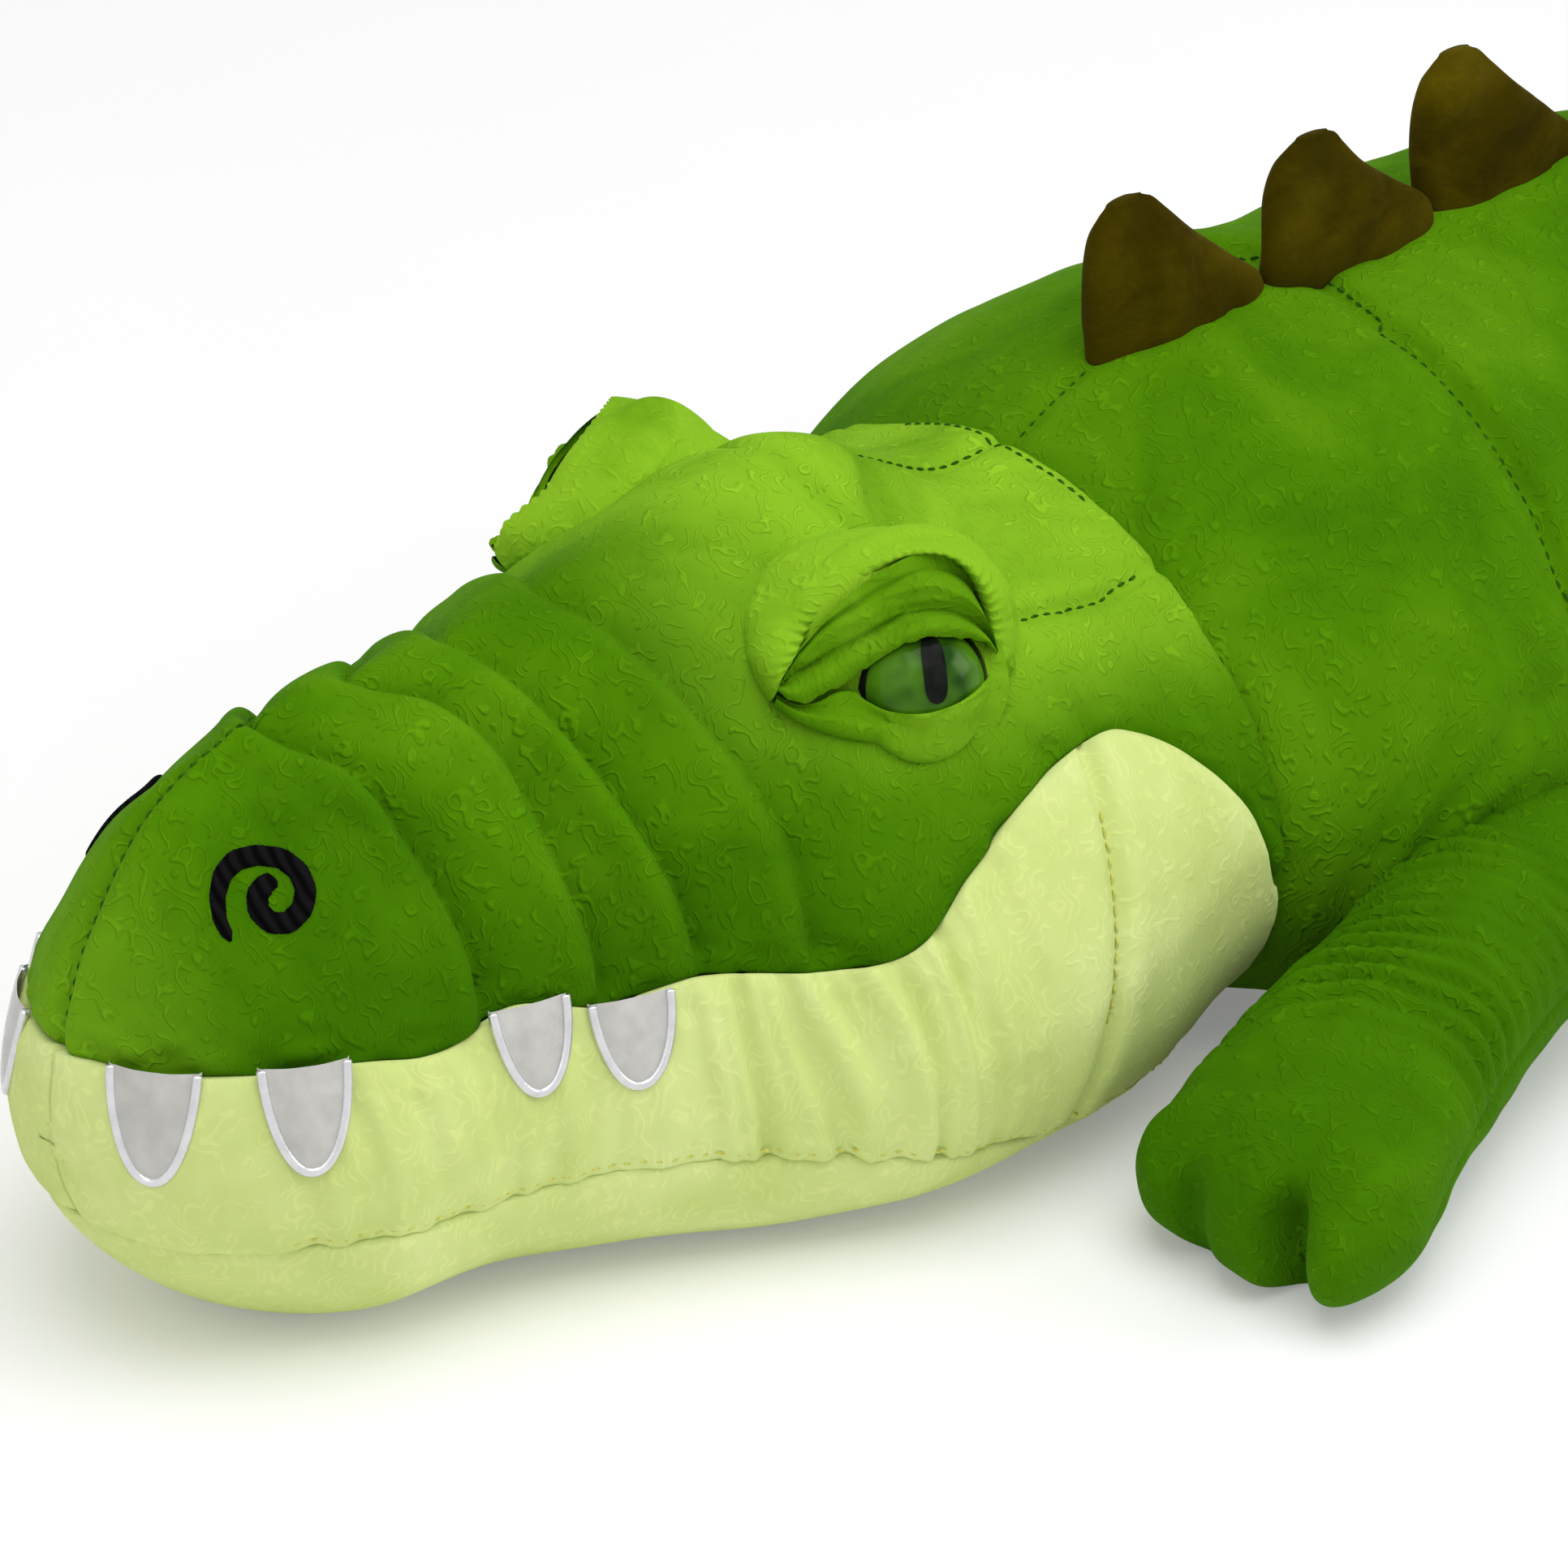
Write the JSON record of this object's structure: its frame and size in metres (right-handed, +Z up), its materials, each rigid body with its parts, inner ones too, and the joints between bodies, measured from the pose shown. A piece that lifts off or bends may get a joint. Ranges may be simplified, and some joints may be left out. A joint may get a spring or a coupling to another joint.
{
  "type": "plush crocodile",
  "caption": "Large stuffed plush crocodile lying on its belly, with sewn fabric panels over stuffing, soft back spikes, fabric teeth and a bending neck, tail and legs.",
  "frame": {"origin": "on the ground plane under the middle of the whole toy, from nose tip to tail tip", "axes": "+Z up, nose towards -Y, tail towards +Y, the toy's left side towards +X"},
  "size_m": [0.412, 1.17, 0.2065],
  "materials": {
    "green_plush": "short-pile green plush fabric",
    "pale_plush": "short-pile pale yellow-green plush fabric",
    "olive_plush": "dark olive-brown velvety plush fabric",
    "stuffing": "loose white fibre filling",
    "tooth_satin": "light grey satin with a stitched edge",
    "black_thread": "black embroidery thread",
    "eye_plastic": "glossy green safety eye with a slit pupil",
    "washer_plastic": "grey retaining washer"
  },
  "bodies": {
    "torso": {"back_panel": "green_plush", "belly_panel": "pale_plush", "torso_stuffing": "stuffing", "back_spike_1": "olive_plush", "back_spike_2": "olive_plush", "back_spike_3": "olive_plush", "back_spike_4": "olive_plush", "back_spike_5": "olive_plush", "back_spike_6": "olive_plush", "back_spike_7": "olive_plush"},
    "head": {"head_top_panel": "green_plush", "chin_panel": "pale_plush", "jaw_panel_left": "pale_plush", "jaw_panel_right": "pale_plush", "head_stuffing": "stuffing", "brow_left": "green_plush", "upper_lid_left": "green_plush", "lower_lid_left": "green_plush", "eye_left": "eye_plastic", "eye_washer_left": "washer_plastic", "nostril_left": "black_thread", "tooth_left_1": "tooth_satin", "tooth_left_2": "tooth_satin", "tooth_left_3": "tooth_satin", "tooth_left_4": "tooth_satin", "brow_right": "green_plush", "upper_lid_right": "green_plush", "lower_lid_right": "green_plush", "eye_right": "eye_plastic", "eye_washer_right": "washer_plastic", "nostril_right": "black_thread", "tooth_right_1": "tooth_satin", "tooth_right_2": "tooth_satin", "tooth_right_3": "tooth_satin", "tooth_right_4": "tooth_satin"},
    "tail_base": {"tail_base_skin": "green_plush", "tail_base_stuffing": "stuffing", "tail_base_spike_1": "olive_plush", "tail_base_spike_2": "olive_plush", "tail_base_spike_3": "olive_plush"},
    "tail_tip": {"tail_tip_skin": "green_plush", "tail_tip_stuffing": "stuffing", "tail_tip_spike_1": "olive_plush", "tail_tip_spike_2": "olive_plush", "tail_tip_spike_3": "olive_plush", "tail_tip_spike_4": "olive_plush"},
    "front_leg_left": {"front_leg_left_skin": "green_plush", "front_leg_left_stuffing": "stuffing"},
    "front_leg_right": {"front_leg_right_skin": "green_plush", "front_leg_right_stuffing": "stuffing"},
    "rear_leg_left": {"rear_leg_left_skin": "green_plush", "rear_leg_left_stuffing": "stuffing"},
    "rear_leg_right": {"rear_leg_right_skin": "green_plush", "rear_leg_right_stuffing": "stuffing"}
  },
  "joints": [
    {"name": "neck", "type": "hinge", "parent": "torso", "child": "head", "pos_m": [0, -0.215, 0], "axis": [0, 0, 1], "range_deg": [-5, 5]},
    {"name": "tail_root", "type": "hinge", "parent": "torso", "child": "tail_base", "pos_m": [0, 0.12, 0], "axis": [0, 0, 1], "range_deg": [-20, 20]},
    {"name": "tail_middle", "type": "hinge", "parent": "tail_base", "child": "tail_tip", "pos_m": [0, 0.33, 0], "axis": [0, 0, 1], "range_deg": [-25, 25]},
    {"name": "front_shoulder_left", "type": "hinge", "parent": "torso", "child": "front_leg_left", "pos_m": [0.118, -0.215, 0], "axis": [0, 0, 1], "range_deg": [0, 40]},
    {"name": "rear_hip_left", "type": "hinge", "parent": "torso", "child": "rear_leg_left", "pos_m": [0.10022, 0.062, 0], "axis": [0, 0, 1], "range_deg": [0, 40]},
    {"name": "front_shoulder_right", "type": "hinge", "parent": "torso", "child": "front_leg_right", "pos_m": [-0.118, -0.215, 0], "axis": [0, 0, -1], "range_deg": [0, 40]},
    {"name": "rear_hip_right", "type": "hinge", "parent": "torso", "child": "rear_leg_right", "pos_m": [-0.10022, 0.062, 0], "axis": [0, 0, -1], "range_deg": [0, 40]}
  ]
}
